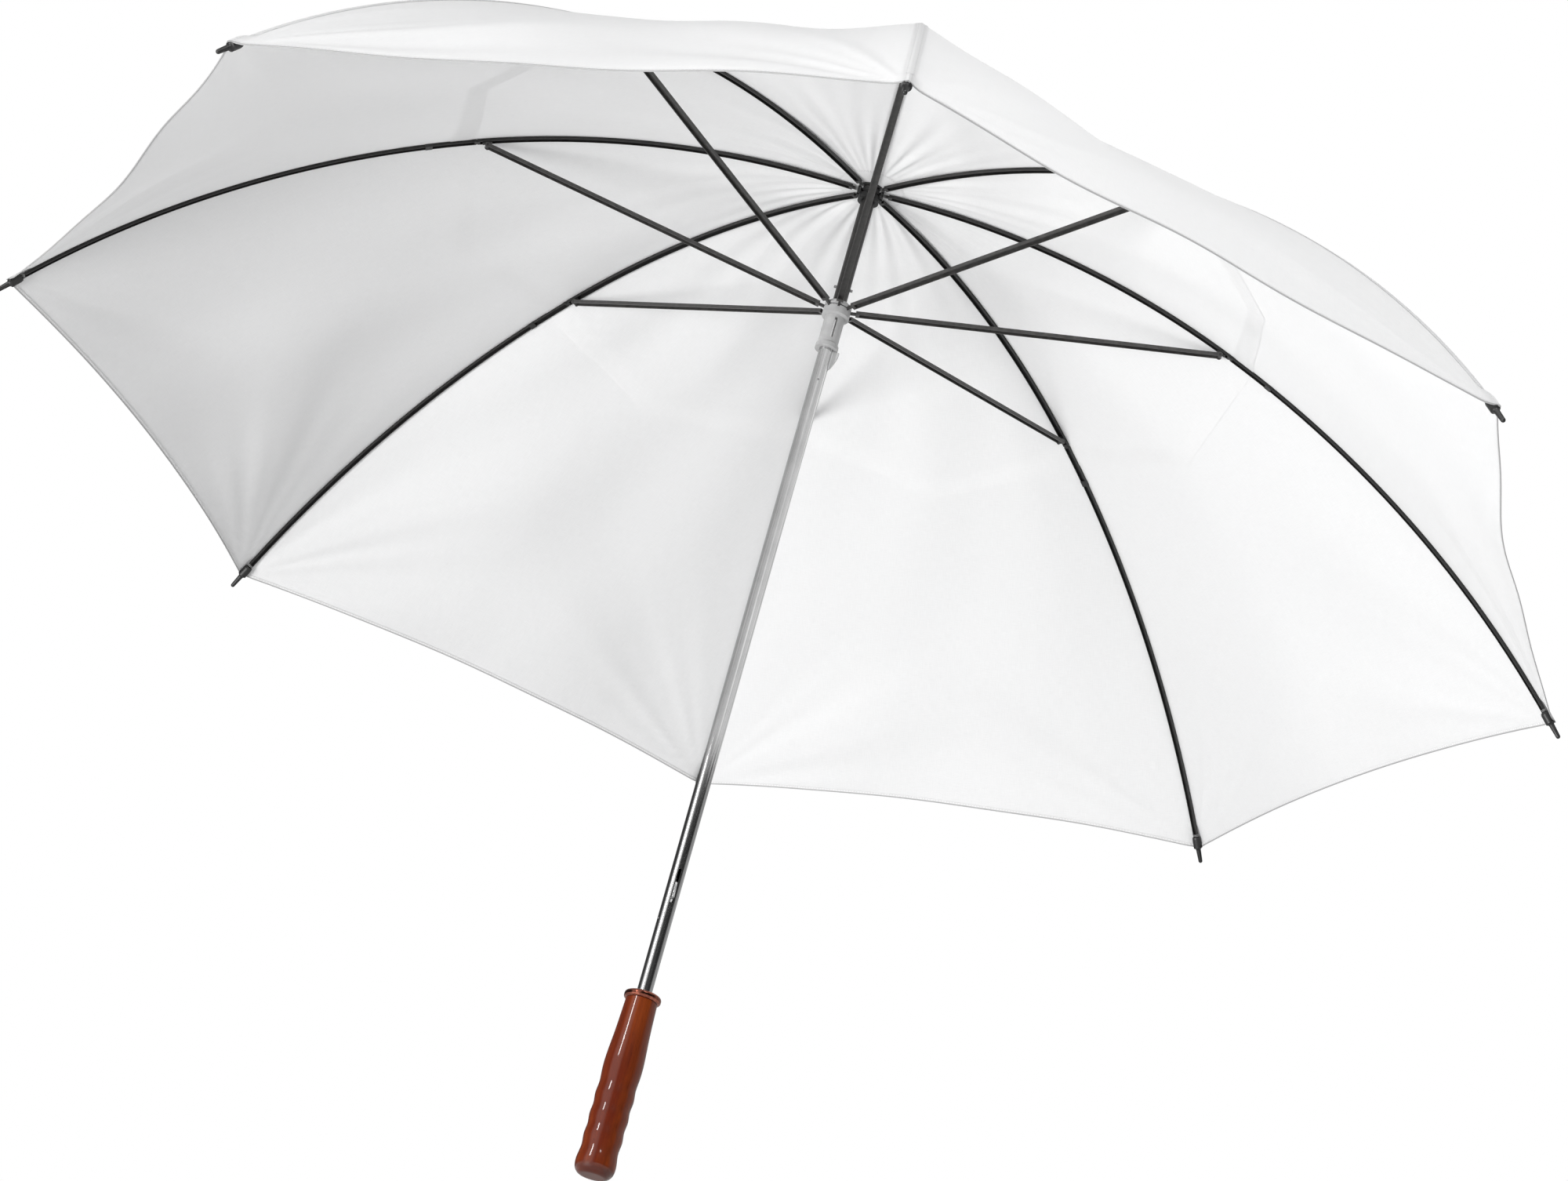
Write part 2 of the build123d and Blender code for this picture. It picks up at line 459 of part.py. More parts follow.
# ---- Ribs, brackets, tips and stretchers, eight times round ---------------------------------
RIB_HALF = RIB_HEIGHT / 2
STRETCHER_HALF = STRETCHER_HEIGHT / 2
TONGUE_WIDTH = RIB_WIDTH - 2 * RIB_WALL - TONGUE_PLAY
TRUNNION_HALF_LENGTH = STRETCHER_WIDTH / 2
for rib in range(RIB_COUNT):
    plane = upright_plane(rib * RIB_STEP)
    number = rib + 1
    tip_plane = plane_along(plane, RIB_END, on_arc(RIB_END, 1, END_SLOPE + 90))
    stretcher_plane = plane_along(plane, JOINT, (PIVOT_RADIUS, RUNNER_Z))

    # Inner rib: eye and neck, a channel open downward, and a riveted tongue at its outer end.
    with BuildPart() as rib_inner:
        with BuildSketch(plane):
            with BuildLine():
                band_outline(
                    INNER_CENTRE, INNER_BEND, -RIB_HALF, RIB_HALF,
                    inner_slope(CHANNEL_START), inner_slope(SPLIT_LENGTH - RIVET_CUT_RADIUS),
                )
            make_face()
        extrude(amount=RIB_WIDTH / 2, both=True)
        with BuildSketch(plane):
            with BuildLine():
                band_outline(
                    INNER_CENTRE, INNER_BEND, -RIB_HEIGHT, RIB_HALF - RIB_WALL,
                    inner_slope(PLUG_END), inner_slope(SPLIT_LENGTH - 2 * RIVET_CUT_RADIUS),
                )
            make_face()
        extrude(amount=RIB_WIDTH / 2 - RIB_WALL, both=True, mode=Mode.SUBTRACT)
        with BuildSketch(plane):
            with BuildLine():
                band_outline(
                    INNER_CENTRE, INNER_BEND, -NECK_HALF_HEIGHT, NECK_HALF_HEIGHT,
                    inner_slope(0), inner_slope(CHANNEL_START + 1),
                )
            make_face()
            with Locations((PIVOT_RADIUS, CROWN_Z)):
                Circle(EYE_RADIUS)
                Circle(EYE_HOLE_RADIUS, mode=Mode.SUBTRACT)
        extrude(amount=EYE_THICKNESS / 2, both=True)
        with BuildSketch(plane):
            with BuildLine():
                band_outline(
                    INNER_CENTRE, INNER_BEND, -NECK_HALF_HEIGHT, NECK_HALF_HEIGHT,
                    inner_slope(SPLIT_LENGTH - 2 * RIVET_CUT_RADIUS), SPLIT_SLOPE,
                )
            make_face()
            with Locations(SPLIT):
                Circle(NECK_HALF_HEIGHT)
        extrude(amount=TONGUE_WIDTH / 2, both=True)
        with BuildSketch(plane):
            with Locations(SPLIT):
                Circle(RIVET_RADIUS)
        extrude(amount=RIB_WIDTH / 2, both=True)
    save(rib_inner.part, f"rib_{number}_inner")

    # Outer rib: two ears on the rivet, a wide channel, a crimp and a narrower channel.
    with BuildPart() as rib_outer:
        with BuildSketch(plane):
            with BuildLine():
                band_outline(
                    OUTER_CENTRE, OUTER_BEND, -RIB_HALF, RIB_HALF,
                    SPLIT_SLOPE, outer_slope(CRIMP_LENGTH),
                )
            make_face()
            with Locations(SPLIT):
                Circle(RIB_HALF)
        extrude(amount=RIB_WIDTH / 2, both=True)
        with BuildSketch(plane):
            with BuildLine():
                band_outline(
                    OUTER_CENTRE, OUTER_BEND, -RIB_HALF - CRIMP_STAND, RIB_HALF + CRIMP_STAND,
                    outer_slope(CRIMP_LENGTH - CRIMP_HALF_LENGTH),
                    outer_slope(CRIMP_LENGTH + CRIMP_HALF_LENGTH),
                )
            make_face()
        extrude(amount=CRIMP_WIDTH / 2, both=True)
        with BuildSketch(plane):
            with BuildLine():
                band_outline(
                    OUTER_CENTRE, OUTER_BEND, -RIB_HALF, RIB_HALF,
                    outer_slope(CRIMP_LENGTH), outer_slope(RIB_LENGTH - 2),
                )
            make_face()
        extrude(amount=RIB_END_WIDTH / 2, both=True)
        with BuildSketch(plane):
            with BuildLine():
                band_outline(
                    OUTER_CENTRE, OUTER_BEND, -RIB_HEIGHT, RIB_HALF - RIB_WALL,
                    SPLIT_SLOPE, outer_slope(CRIMP_LENGTH - CRIMP_HALF_LENGTH),
                )
            make_face()
            with Locations(SPLIT):
                Circle(RIVET_CUT_RADIUS)
        extrude(amount=RIB_WIDTH / 2 - RIB_WALL, both=True, mode=Mode.SUBTRACT)
        with BuildSketch(plane):
            with BuildLine():
                band_outline(
                    OUTER_CENTRE, OUTER_BEND, -RIB_HEIGHT, RIB_HALF - RIB_WALL,
                    outer_slope(CRIMP_LENGTH + CRIMP_HALF_LENGTH), outer_slope(RIB_LENGTH),
                )
            make_face()
        extrude(amount=RIB_END_WIDTH / 2 - RIB_WALL, both=True, mode=Mode.SUBTRACT)
        with BuildSketch(plane):
            with Locations(SPLIT):
                Circle(RIVET_RADIUS + PIN_CLEARANCE)
        extrude(amount=RIB_WIDTH / 2, both=True, mode=Mode.SUBTRACT)
    save(rib_outer.part, f"rib_{number}_outer")

    # Bracket: a block crimped in the rib channel, with trunnions for the stretcher's ears.
    with BuildPart() as bracket:
        with BuildSketch(plane):
            with BuildLine():
                band_outline(
                    INNER_CENTRE, INNER_BEND,
                    -RIB_HALF - BRACKET_FOOT, RIB_HALF - RIB_WALL - BRACKET_PLAY,
                    inner_slope(JOINT_LENGTH - BRACKET_HALF_LENGTH),
                    inner_slope(JOINT_LENGTH + BRACKET_HALF_LENGTH),
                )
            make_face()
        extrude(amount=TONGUE_WIDTH / 2, both=True)
        with BuildSketch(plane):
            with BuildLine():
                band_outline(
                    INNER_CENTRE, INNER_BEND, -JOINT_DROP, -RIB_HALF - BRACKET_PLAY,
                    inner_slope(JOINT_LENGTH - BRACKET_NECK_HALF),
                    inner_slope(JOINT_LENGTH + BRACKET_NECK_HALF),
                )
            make_face()
            with Locations(JOINT):
                Circle(BRACKET_NECK_HALF)
        extrude(amount=STRETCHER_WIDTH / 2 - STRETCHER_WALL - BRACKET_PLAY, both=True)
        with BuildSketch(plane):
            with Locations(JOINT):
                Circle(TRUNNION_RADIUS)
        extrude(amount=TRUNNION_HALF_LENGTH, both=True)
    save(bracket.part, f"rib_{number}_bracket")

    # Tip cap: a bell over the rib's end and a tapering stem, turned about the rib's end line.
    with BuildPart() as tip:
        with BuildSketch(tip_plane):
            with BuildLine():
                shoulder = (-BELL_ROUNDING, BELL_RADIUS)
                stem_root = (STEM_START, STEM_ROOT_RADIUS)
                stem_end = (STEM_LENGTH - STEM_END_RADIUS, STEM_END_RADIUS)
                Polyline(
                    (-TIP_WEB, 0),
                    (-TIP_WEB, TIP_POCKET_RADIUS),
                    (-BELL_LENGTH, TIP_POCKET_RADIUS),
                    (-BELL_LENGTH, BELL_RADIUS - BELL_ROUNDING),
                    (-BELL_LENGTH + BELL_LIP_LENGTH, BELL_RADIUS),
                    shoulder,
                )
                Spline(shoulder, stem_root, tangents=((0.6, -1), (1, -0.1)))
                Line(stem_root, stem_end)
                RadiusArc(stem_end, (STEM_LENGTH, 0), STEM_END_RADIUS)
                Line((STEM_LENGTH, 0), (-TIP_WEB, 0))
            make_face()
        revolve(axis=Axis(tip_plane.origin, tip_plane.x_dir))
    save(tip.part, f"rib_{number}_tip")

    # Stretcher: ears on the trunnions, a channel open downward, and an eye on the runner's wire.
    with BuildPart() as stretcher:
        with BuildSketch(stretcher_plane):
            with BuildLine():
                bar_outline(0, STRETCHER_LENGTH - CHANNEL_START, -STRETCHER_HALF, STRETCHER_HALF)
            make_face()
            Circle(EAR_RADIUS)
        extrude(amount=STRETCHER_WIDTH / 2, both=True)
        with BuildSketch(stretcher_plane):
            with BuildLine():
                bar_outline(
                    0, STRETCHER_LENGTH - PLUG_END, STRETCHER_WALL - STRETCHER_HALF, STRETCHER_HEIGHT
                )
            make_face()
            Circle(EAR_GAP_RADIUS)
        extrude(amount=STRETCHER_WIDTH / 2 - STRETCHER_WALL, both=True, mode=Mode.SUBTRACT)
        with BuildSketch(stretcher_plane):
            Circle(TRUNNION_RADIUS + PIN_CLEARANCE)
        extrude(amount=STRETCHER_WIDTH / 2, both=True, mode=Mode.SUBTRACT)
        with BuildSketch(stretcher_plane):
            with BuildLine():
                bar_outline(
                    STRETCHER_LENGTH - CHANNEL_START - 1, STRETCHER_LENGTH,
                    -NECK_HALF_HEIGHT, NECK_HALF_HEIGHT,
                )
            make_face()
            with Locations((STRETCHER_LENGTH, 0)):
                Circle(EYE_RADIUS)
                Circle(EYE_HOLE_RADIUS, mode=Mode.SUBTRACT)
        extrude(amount=EYE_THICKNESS / 2, both=True)
    save(stretcher.part, f"stretcher_{number}")

# ---- Canopy: eight gores, each ruled between two ribs, with a scalloped hem ------------------
CANOPY_LIFT = CANOPY_CROWN_RISE - (INNER_CENTRE[1] + INNER_BEND - CROWN_Z)
HEM_CORNER = (RIB_END[0] * cos(radians(HALF_STEP)), RIB_END[0] * sin(radians(HALF_STEP)))


def gore_outline(lift):
    """Line and curve of a gore's middle section, at this height above the rib line."""
    points = []
    for step in range(4):
        slope = SPLIT_SLOPE * step / 4
        points.append(on_arc(INNER_CENTRE, INNER_BEND + lift, slope))
    for step in range(5):
        slope = SPLIT_SLOPE + (outer_slope(RIB_LENGTH + HEM_OVERHANG) - SPLIT_SLOPE) * step / 4
        points.append(on_arc(OUTER_CENTRE, OUTER_BEND + lift, slope))
    narrow = cos(radians(HALF_STEP))
    curve = Spline(*[(x * narrow, z) for x, z in points])
    Line((0, points[0][1]), curve @ 0)
    return curve


with BuildPart() as gore:
    with BuildSketch(upright_plane(0)):
        with BuildLine():
            under = gore_outline(CANOPY_LIFT)
            over = gore_outline(CANOPY_LIFT + CANOPY_THICKNESS)
            Line(under @ 1, over @ 1)
            crown_under = CROWN_Z + CANOPY_CROWN_RISE
            Line((0, crown_under), (0, crown_under + CANOPY_THICKNESS))
        make_face()
    extrude(amount=HEM_CORNER[1] + HEM_OVERHANG, both=True)
    with BuildSketch(Plane.XY):
        with BuildLine():
            Polyline((HEM_CORNER[0], -HEM_CORNER[1]), (0, 0), HEM_CORNER)
            ThreePointArc((HEM_CORNER[0], -HEM_CORNER[1]), (HEM_MID_RADIUS, 0), HEM_CORNER)
        make_face()
    extrude(amount=2 * CROWN_Z, mode=Mode.INTERSECT)

with BuildPart() as canopy:
    with PolarLocations(0, RIB_COUNT, start_angle=HALF_STEP):
        add(gore.part)
    with BuildSketch(Plane.XY.offset(CROWN_Z - 1)):
        Circle(SHAFT_HOLE_RADIUS)
    extrude(amount=10, mode=Mode.SUBTRACT)
    for rib in range(RIB_COUNT):
        plane = upright_plane(rib * RIB_STEP)
        tip_plane = plane_along(plane, RIB_END, on_arc(RIB_END, 1, END_SLOPE + 90))
        with BuildSketch(Plane(origin=tip_plane.origin, z_dir=tip_plane.x_dir)):
            Circle(BELL_RADIUS + TIP_CUTOUT_GAP)
        extrude(amount=-BELL_LENGTH - TIP_CUTOUT_GAP, mode=Mode.SUBTRACT)
save(canopy.part, "canopy")
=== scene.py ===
"""Umbrella reflector: fabric, finishes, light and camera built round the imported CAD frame.

Metres, in the row frame: +Z runs up the shaft from the grip's end, and rib 1 lies over +X.
Gore g lies between rib g + 1 and the next rib.  The canopy is one curved sheet at rest.  It is
cut into pieces along mid-gore lines and at each rib's bend, so that it folds with the ribs.
"""

from math import cos, pi, radians, sin, tan

import bpy
import numpy as np
from mathutils import Matrix, Vector


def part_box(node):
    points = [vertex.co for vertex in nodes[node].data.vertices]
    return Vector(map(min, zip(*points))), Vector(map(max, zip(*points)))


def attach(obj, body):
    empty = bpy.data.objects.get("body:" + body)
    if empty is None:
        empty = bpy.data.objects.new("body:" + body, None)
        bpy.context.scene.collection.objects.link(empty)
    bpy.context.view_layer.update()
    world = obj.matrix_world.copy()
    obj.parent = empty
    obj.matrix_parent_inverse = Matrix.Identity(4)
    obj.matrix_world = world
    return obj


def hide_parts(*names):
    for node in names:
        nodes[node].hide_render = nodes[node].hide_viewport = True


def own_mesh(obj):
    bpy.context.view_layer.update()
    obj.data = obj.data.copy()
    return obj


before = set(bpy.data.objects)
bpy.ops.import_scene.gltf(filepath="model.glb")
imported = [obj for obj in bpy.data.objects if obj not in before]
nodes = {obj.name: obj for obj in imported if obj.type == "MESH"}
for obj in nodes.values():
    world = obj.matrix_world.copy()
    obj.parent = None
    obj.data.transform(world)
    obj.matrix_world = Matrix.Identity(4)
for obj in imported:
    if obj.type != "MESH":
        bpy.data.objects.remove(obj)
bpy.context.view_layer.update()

# ---- Sizes of the ribs and the sheet ------------------------------------------------------
RIBS = 8
STEP = 2 * pi / RIBS
HALF = STEP / 2
RIB_RISE = radians(3)  # above level, where a rib leaves the crown
INNER_BEND = 0.717
OUTER_BEND = 0.868
SPLIT = 0.335  # along the rib, crown ring to the rib's bend
RIB_LENGTH = 0.750
SHEET_INNER_RADIUS = 0.0066
CROWN_LIFT = 0.0030  # sheet above the rib's curve near the crown
SHEET_LIFT = 0.0021  # and further out, where it lies on the ribs
BELL_LIFT = 0.0026  # added where the sheet climbs on a rib tip
BELL_START, BELL_TOP = 0.024, 0.012  # back from the rib's end, where that climb starts and ends
BELL_SPREAD = 0.0065  # and how far it spreads to the sides
SCALLOP = 0.014  # how far a hem curves in between two ribs
SAG = 0.0085  # how far the sheet hangs in between two ribs
HEM_FOLD = 0.0026  # width of the hem that is laid back on the inside
HEM_ROLL = 0.00045  # radius of the half turn at the hem's edge
HEM_TURN_STEPS, HEM_FLAT_STEPS = 6, 3

low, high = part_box("crown_wire")
CROWN_Z = (low.z + high.z) / 2
PIVOT_RADIUS = (high.x - low.x) / 2 - (high.z - low.z) / 2

INNER_CENTRE = (PIVOT_RADIUS + INNER_BEND * sin(RIB_RISE), CROWN_Z - INNER_BEND * cos(RIB_RISE))
SPLIT_SLOPE = SPLIT / INNER_BEND - RIB_RISE
OUTER_CENTRE = (
    INNER_CENTRE[0] + (INNER_BEND - OUTER_BEND) * sin(SPLIT_SLOPE),
    INNER_CENTRE[1] + (INNER_BEND - OUTER_BEND) * cos(SPLIT_SLOPE),
)
SPLIT_POINT = (
    INNER_CENTRE[0] + INNER_BEND * sin(SPLIT_SLOPE),
    INNER_CENTRE[1] + INNER_BEND * cos(SPLIT_SLOPE),
)
LEVEL_LENGTH = RIB_RISE * INNER_BEND  # along the rib, where it runs level


def smooth(x, start, end):
    """0 before start, 1 after end, with a soft change in between."""
    u = np.clip((x - start) / (end - start), 0, 1)
    return u * u * (3 - 2 * u)


def rib_curve(s, lift):
    """Radius, height and slope of a point at length s along the rib, lifted off the rib."""
    s = np.asarray(s, float)
    slope = np.where(s < SPLIT, s / INNER_BEND - RIB_RISE, SPLIT_SLOPE + (s - SPLIT) / OUTER_BEND)
    slope = np.maximum(slope, 0)
    inner = s < SPLIT
    bend = np.where(inner, INNER_BEND, OUTER_BEND) + lift
    radius = np.where(inner, INNER_CENTRE[0], OUTER_CENTRE[0]) + bend * np.sin(slope)
    height = np.where(inner, INNER_CENTRE[1], OUTER_CENTRE[1]) + bend * np.cos(slope)
    return radius - np.maximum(LEVEL_LENGTH - s, 0), height, slope


def cut_length(a):
    """Length along the rib where the plane square to the rib's bend cuts the sheet.

    It is worked out by halving, at share a of the way from the rib to mid-gore.
    """
    near, far = np.full_like(a, SPLIT - 0.02), np.full_like(a, SPLIT + 0.12)
    for _ in range(40):
        middle = (near + far) / 2
        radius, height, _ = rib_curve(middle, SHEET_LIFT)
        outward = radius * (cos(HALF) ** 2 + sin(HALF) ** 2 * (1 - a))
        along = (outward - SPLIT_POINT[0]) * cos(SPLIT_SLOPE)
        along -= (height - SPLIT_POINT[1]) * sin(SPLIT_SLOPE)
        near, far = np.where(along < 0, middle, near), np.where(along < 0, far, middle)
    return near


# ---- The sheet: one grid per gore, rows from the crown to the hem, columns from rib to rib
COLUMNS = 44  # per half gore
share = np.linspace(0, 1, COLUMNS + 1) ** 1.2
ACROSS = np.concatenate([share / 2, 1 - share[-2::-1] / 2])  # 0 at one rib, 1 at the next
FROM_RIB = 1 - np.abs(1 - 2 * ACROSS)  # 0 at either rib, 1 at mid-gore
HEM = RIB_LENGTH - SCALLOP * (1 - (1 - FROM_RIB) ** 2)
CUT = cut_length(FROM_RIB)
SHEET_START = SHEET_INNER_RADIUS - (INNER_CENTRE[0] - LEVEL_LENGTH)
RING_A, RING_B = 0.050, 0.170
ROWS = (9, 24, 36, 76)  # in the two crown rings, the ring to the bend and the outer ring


def sheet_rows():
    """Length along the rib of every grid point, and the rows where the rings begin and end."""
    ones = np.ones_like(ACROSS)
    edges = (SHEET_START * ones, RING_A * ones, RING_B * ones, CUT, HEM)
    rows = [edges[0]]
    marks = [0]
    for start, end, count in zip(edges, edges[1:], ROWS):
        rows += [start + (end - start) * k / count for k in range(1, count + 1)]
        marks.append(len(rows) - 1)
    return np.array(rows), marks


LENGTHS, MARKS = sheet_rows()

WRINKLE_SEED = 40
FAN_HEIGHT, PULL_HEIGHT = 0.0019, 0.0021  # short and long folds out of a rib tip's corner
PLEAT_HEIGHT = 0.0011
SLACK_HEIGHT = 0.0018


def wrinkles(gore, s, across):
    """Small folds, outward: fans at the two corners, pleats at the crown and slack between."""
    dice = np.random.default_rng(WRINKLE_SEED + gore)
    phase = dice.uniform(0, 2 * pi, 16)
    hem_gap = RIB_LENGTH - s
    width = 2 * rib_curve(s, 0)[0] * sin(HALF)
    total = np.zeros_like(s)
    for corner, side in ((0, across), (1, 1 - across)):
        along, aside = hem_gap, side * width
        distance = np.hypot(along, aside) + 1e-6
        angle = np.arctan2(aside, along)
        reach = np.exp(-((distance / 0.15) ** 2)) * smooth(distance, 0.004, 0.035)
        fan = 0.55 * np.cos(15 * angle + phase[corner])
        fan = fan + 0.45 * np.cos(25 * angle + phase[2 + corner])
        total += FAN_HEIGHT * fan * reach * smooth(angle, 0.02, 0.16)
        pull = np.cos(7.5 * angle + phase[4 + corner]) * np.exp(-((distance - 0.16) / 0.12) ** 2)
        total += PULL_HEIGHT * pull * smooth(angle, 0.02, 0.2)
    pleat = np.zeros_like(s)
    for k, count in enumerate((3, 5, 8, 11)):
        drift = count * pi * (across + 0.05 * np.sin(s * 14 + phase[6 + k]))
        pleat += np.cos(drift + phase[10 + k]) / (1 + 0.25 * k)
    crown = smooth(s, 0.010, 0.060) * np.exp(-np.maximum(s - 0.06, 0) / 0.16)
    total += PLEAT_HEIGHT * pleat * crown
    slack = np.sin(2 * pi * (1.3 * across + 2.1 * s) + phase[14])
    slack += 0.7 * np.sin(2 * pi * (2.6 * across - 1.7 * s) + phase[15])
    total += SLACK_HEIGHT * slack * smooth(s, 0.15, 0.35)
    hold = np.clip(4 * across * (1 - across), 0, 1) ** 0.75
    return total * hold


def turned(x, y, z, angle):
    """Points at (x, y, z) turned by angle round the shaft."""
    return np.stack([x * cos(angle) - y * sin(angle), x * sin(angle) + y * cos(angle), z], -1)


def round_shaft(radius, angle, z):
    """Points at a radius, an angle and a height round the shaft."""
    x, y = radius * np.cos(angle), radius * np.sin(angle)
    return np.stack(np.broadcast_arrays(x, y, z), -1)


def sheet_points(gore, s, across):
    """Row-frame points of the sheet in one gore."""
    width_share = 2 * across - 1
    flat_radius = rib_curve(s, 0)[0]
    aside = flat_radius * sin(HALF) * (1 - np.abs(width_share))
    lift = CROWN_LIFT + (SHEET_LIFT - CROWN_LIFT) * smooth(s, 0.06, 0.14)
    on_bell = smooth(s, RIB_LENGTH - BELL_START, RIB_LENGTH - BELL_TOP)
    lift = lift + BELL_LIFT * on_bell * np.exp(-((aside / BELL_SPREAD) ** 2))
    radius, height, slope = rib_curve(s, lift)
    hang = 1 - width_share**2
    growth = smooth(s, 0.03, 0.30) * (1 - 0.28 * smooth(s, 0.5, RIB_LENGTH))
    inward = SAG * growth * hang - wrinkles(gore, s, across)
    x = radius * cos(HALF) - inward * np.sin(slope)
    y = radius * sin(HALF) * width_share
    z = height - inward * np.cos(slope)
    return turned(x, y, z, (gore + 0.5) * STEP)


def grid_normals(points):
    """Unit normals of a grid of points, outward from the canopy."""
    down = np.gradient(points, axis=0)
    across = np.gradient(points, axis=1)
    normal = np.cross(down, across)
    return normal / np.maximum(np.linalg.norm(normal, axis=-1, keepdims=True), 1e-12)


def with_hem(points, normals):
    """The grid with its hem added: rolled under in a half turn, then laid back on the inside."""
    along = points[-1] - points[-2]
    along /= np.linalg.norm(along, axis=-1, keepdims=True)
    inside = -normals[-1]
    rows = []
    for k in range(1, HEM_TURN_STEPS + 1):
        turn = pi * k / HEM_TURN_STEPS
        rows.append(points[-1] + HEM_ROLL * (along * sin(turn) + inside * (1 - cos(turn))))
    for k in range(1, HEM_FLAT_STEPS + 1):
        flat = -along * HEM_FOLD * k / HEM_FLAT_STEPS
        flat = flat + inside * HEM_ROLL * (0.9 - 0.5 * k / HEM_FLAT_STEPS)
        rows.append(points[-1] + flat + inside * HEM_ROLL)
    return np.concatenate([points, np.array(rows)])


GORES = []
for gore in range(RIBS):
    across = np.broadcast_to(ACROSS, LENGTHS.shape)
    sheet = sheet_points(gore, LENGTHS, across)
    full = with_hem(sheet, grid_normals(sheet))
    GORES.append((full, grid_normals(full)))


def with_hem_rows(values):
    """Grid values with the last row repeated for the rows of the hem."""
    return np.concatenate([values, np.repeat(values[-1:], HEM_TURN_STEPS + HEM_FLAT_STEPS, 0)])


# UV layers in metres: "weave" is a place on the cloth, and "gaps" the way to a seam and the hem.
half_width = rib_curve(LENGTHS, 0)[0] * sin(HALF)
flat_steps = np.arange(1, HEM_FLAT_STEPS + 1)
fold_gap = np.concatenate([np.zeros(HEM_TURN_STEPS), flat_steps * HEM_FOLD / HEM_FLAT_STEPS])
WEAVE_U = with_hem_rows(half_width * (2 * ACROSS - 1))
WEAVE_V = np.concatenate([LENGTHS, LENGTHS[-1] + fold_gap[:, None]])
SEAM_U = with_hem_rows(half_width * (1 - np.abs(2 * ACROSS - 1)))
SEAM_V = np.concatenate([HEM - LENGTHS, np.repeat(fold_gap[:, None], len(ACROSS), 1)])


# ---- Node materials -----------------------------------------------------------------------
class Graph:
    """A material's node tree.

    Each call adds a node and returns one of its outputs, but finish returns the material.
    """

    def __init__(self, name):
        self.material = bpy.data.materials.new(name)
        self.material.use_nodes = True
        self.tree = self.material.node_tree
        self.tree.nodes.clear()

    def add(self, kind, inputs, output=0, **settings):
        node = self.tree.nodes.new("ShaderNode" + kind)
        for key, value in settings.items():
            setattr(node, key, value)
        for key, value in inputs.items():
            if isinstance(value, bpy.types.NodeSocket):
                self.tree.links.new(value, node.inputs[key])
            else:
                node.inputs[key].default_value = value
        return node.outputs[output]

    def math(self, operation, a, b=0.0, c=0.0):
        return self.add("Math", {0: a, 1: b, 2: c}, operation=operation)

    def place(self):
        return self.add("TexCoord", {}, output="Object")

    def stretch(self, vector, scale):
        return self.add("Mapping", {"Vector": vector, "Scale": scale})

    def noise(self, vector, scale, detail=3.0, roughness=0.5):
        return self.add(
            "TexNoise", {"Vector": vector, "Scale": scale, "Detail": detail, "Roughness": roughness}
        )

    def span(self, value, start, end, low=0.0, high=1.0):
        return self.add("MapRange", {0: value, 1: start, 2: end, 3: low, 4: high})

    def mix(self, factor, a, b):
        return self.add("Mix", {0: factor, 6: a, 7: b}, output=2, data_type="RGBA")

    def bump(self, height, distance, strength=1.0):
        return self.add("Bump", {"Height": height, "Distance": distance, "Strength": strength})

    def finish(self, shader):
        output = self.tree.nodes.new("ShaderNodeOutputMaterial")
        self.tree.links.new(shader, output.inputs["Surface"])
        return self.material


def grey(value, warmth=0.0):
    return (value * (1 + warmth), value, value * (1 - warmth), 1)


THREAD_PITCH = 0.00055  # two threads of the weave
STITCH_PITCH = 0.0028


def stitch_line(g, gap, inset, along):
    """A broken line of stitches at an inset from an edge that is gap away."""
    off_line = g.math("ABSOLUTE", g.math("SUBTRACT", gap, inset))
    pulse = g.math("SINE", g.math("MULTIPLY", along, 2 * pi / STITCH_PITCH))
    return g.math("MULTIPLY", g.span(off_line, 0.0005, 0.0002), g.span(pulse, -0.3, 0.2))


